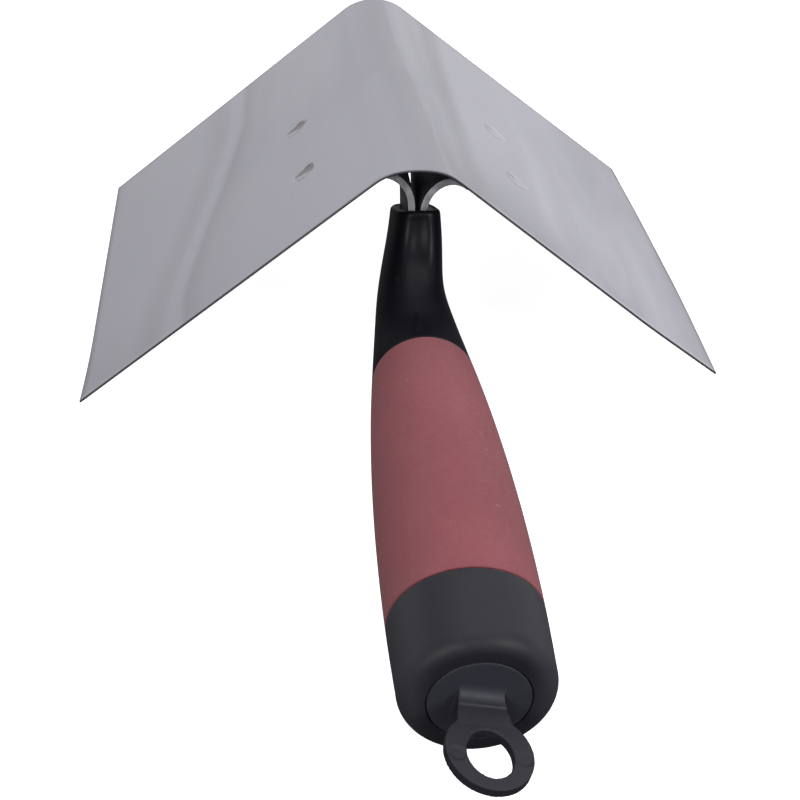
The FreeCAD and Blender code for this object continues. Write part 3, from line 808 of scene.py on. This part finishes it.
def make_floor():
    """A white light table. Its glow is only for the view: it lights nothing and shows in no reflection."""
    mesh = bpy.data.meshes.new("Floor")
    side, drop = 3.0, -0.0002
    corners = [(-side, -side, drop), (side, -side, drop), (side, side, drop), (-side, side, drop)]
    mesh.from_pydata(corners, [], [(0, 1, 2, 3)])
    floor = bpy.data.objects.new("Floor", mesh)
    scene.collection.objects.link(floor)
    floor.visible_diffuse = floor.visible_glossy = False
    n = Nodes("Floor_white")
    cloud = n.ramp(n.noise(n.place, 6, 2), (0.3, 0.0), (0.7, 1.0))
    tint = n.mix(cloud, (0.86, 0.86, 0.86), (0.88, 0.88, 0.88))
    material = n.finish(tint, 0.9, Specular_IOR_Level=0.1)
    n.shader.inputs["Emission Color"].default_value = (1, 1, 1, 1)
    n.shader.inputs["Emission Strength"].default_value = 0.90
    dress(floor, material)


def soft_light(name, place, aim, size, power, colour=(1, 1, 1)):
    data = bpy.data.lights.new(name, "AREA")
    data.shape, data.size, data.size_y = "RECTANGLE", size[0], size[1]
    data.energy, data.color = power, colour
    light = bpy.data.objects.new(name, data)
    scene.collection.objects.link(light)
    light.location = place
    light.rotation_euler = (Vector(aim) - Vector(place)).to_track_quat("-Z", "Y").to_euler()


def make_world():
    """Soft light from above and ahead of the tool, falling off to dark behind it and below."""
    world = bpy.data.worlds.new("Studio")
    scene.world = world
    world.use_nodes = True
    tree = world.node_tree
    place = tree.nodes.new("ShaderNodeTexCoord")
    parts = tree.nodes.new("ShaderNodeSeparateXYZ")
    tree.links.new(place.outputs["Generated"], parts.inputs[0])

    def fade(axis, low, high, start, end):
        node = tree.nodes.new("ShaderNodeMapRange")
        node.interpolation_type = "SMOOTHSTEP"
        tree.links.new(parts.outputs[axis], node.inputs["Value"])
        for key, value in (("From Min", low), ("From Max", high), ("To Min", start), ("To Max", end)):
            node.inputs[key].default_value = value
        return node.outputs["Result"]

    def product(a, b):
        node = tree.nodes.new("ShaderNodeMath")
        node.operation = "MULTIPLY"
        tree.links.new(a, node.inputs[0])
        tree.links.new(b, node.inputs[1])
        return node.outputs[0]

    sky = product(fade("Z", -0.22, 0.04, 0.10, 1.0), fade("Y", -0.45, 0.55, 0.36, 0.72))
    sky = product(sky, fade("X", -0.6, 0.6, 0.90, 1.34))
    back = tree.nodes["Background"]
    back.inputs["Color"].default_value = (0.98, 0.98, 1.0, 1)
    tree.links.new(sky, back.inputs["Strength"])


def make_camera():
    """The photograph's viewpoint, solved from the blade's corners."""
    right = Vector((0.99586554, -0.0896007, 0.01495105))
    up = Vector((0.03510556, 0.53141088, 0.84638648))
    forward = Vector((0.08378197, 0.84236227, -0.53235927))
    place = Vector((-29.2, -271.7 + REAR_EDGE_Y, 169.9 + 0.393)) * MM
    data = bpy.data.cameras.new("Camera")
    data.sensor_width, data.lens, data.clip_start = 36.0, 1492.504 / 800 * 36, 0.01
    camera = bpy.data.objects.new("Camera", data)
    scene.collection.objects.link(camera)
    turn = Matrix((right, up, -forward)).transposed()
    camera.matrix_world = Matrix.Translation(place) @ turn.to_4x4()
    scene.camera = camera


make_floor()
soft_light("Key_right", (0.70, -0.80, 0.62), (0, -0.03, 0.02), (0.55, 0.45), 6.5)
soft_light("Fill_left", (-0.60, -0.85, 0.50), (0, -0.03, 0.02), (0.55, 0.45), 4.5)
soft_light("Top", (0.05, 0.10, 1.0), (0, 0.0, 0.0), (0.9, 0.7), 2.6)
make_world()
make_camera()
scene.view_settings.view_transform = "Standard"
